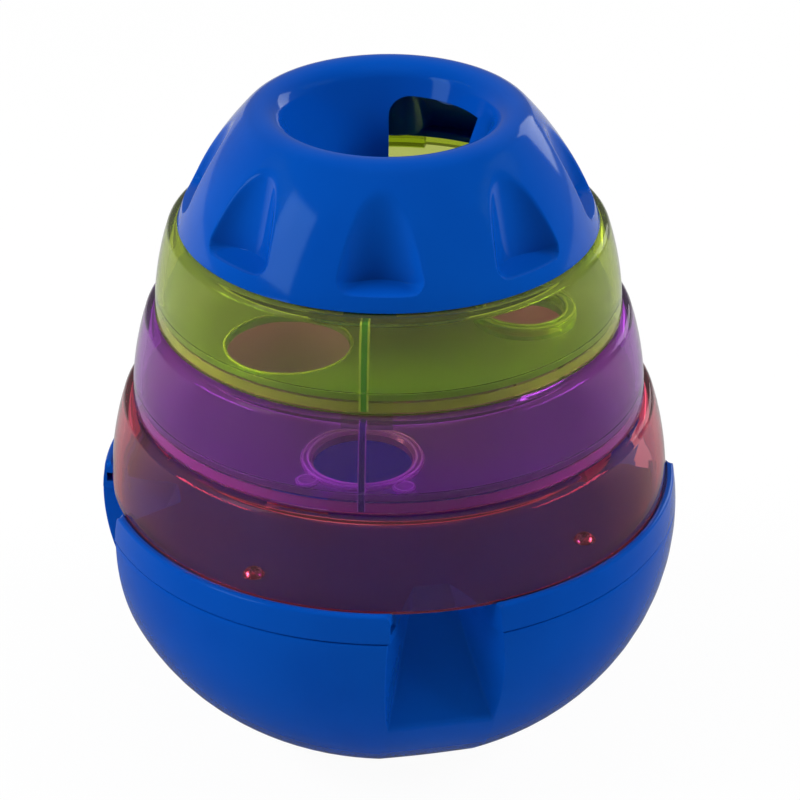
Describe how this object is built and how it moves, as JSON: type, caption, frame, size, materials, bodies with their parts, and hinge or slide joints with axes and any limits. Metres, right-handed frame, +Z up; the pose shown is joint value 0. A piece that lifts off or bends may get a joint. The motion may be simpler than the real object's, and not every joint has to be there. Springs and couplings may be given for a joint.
{
  "type": "treat dispensing tower",
  "caption": "Weighted treat dispenser for dogs: a blue funnel cap over clear lime, purple and red tiers with treat holes, on a blue bowl with chutes.",
  "frame": {"origin": "centre of the flat foot of the bowl, on the floor", "axes": "+Z up along the axis of the stack; the pictured front faces -Y; +X is right in the picture"},
  "size_m": [0.153, 0.153, 0.1744],
  "materials": {
    "blue_plastic": "opaque blue moulded plastic, high gloss",
    "clear_lime": "clear lime green moulded plastic, high gloss",
    "clear_purple": "clear purple moulded plastic, high gloss",
    "clear_red": "clear red moulded plastic, high gloss",
    "ballast_iron": "plain cast iron, hidden inside the bowl",
    "screw_steel": "plain bright steel screws"
  },
  "bodies": {
    "base": {"base_bowl": "blue_plastic", "ballast_weight": "ballast_iron", "base_deck": "blue_plastic", "deck_screws": "screw_steel"},
    "lower_tier": {"lower_tier_wall": "clear_red"},
    "middle_tier": {"middle_tier_wall": "clear_purple", "middle_tier_floor": "clear_purple"},
    "upper_tier": {"upper_tier_wall": "clear_lime", "upper_tier_floor": "clear_lime"},
    "cap": {"top_cap": "blue_plastic", "cap_funnel": "blue_plastic"}
  },
  "joints": [
    {"name": "lower_tier_twist", "type": "hinge", "parent": "base", "child": "lower_tier", "pos_m": [0, 0, 0.0711], "axis": [0, 0, 1], "range_deg": [0, 45]},
    {"name": "middle_tier_twist", "type": "hinge", "parent": "lower_tier", "child": "middle_tier", "pos_m": [0, 0, 0.0985], "axis": [0, 0, 1], "range_deg": [0, 45]},
    {"name": "upper_tier_twist", "type": "hinge", "parent": "middle_tier", "child": "upper_tier", "pos_m": [0, 0, 0.1227], "axis": [0, 0, 1], "range_deg": [0, 45]},
    {"name": "cap_twist", "type": "hinge", "parent": "upper_tier", "child": "cap", "pos_m": [0, 0, 0.1457], "axis": [0, 0, 1], "range_deg": [0, 45]}
  ]
}
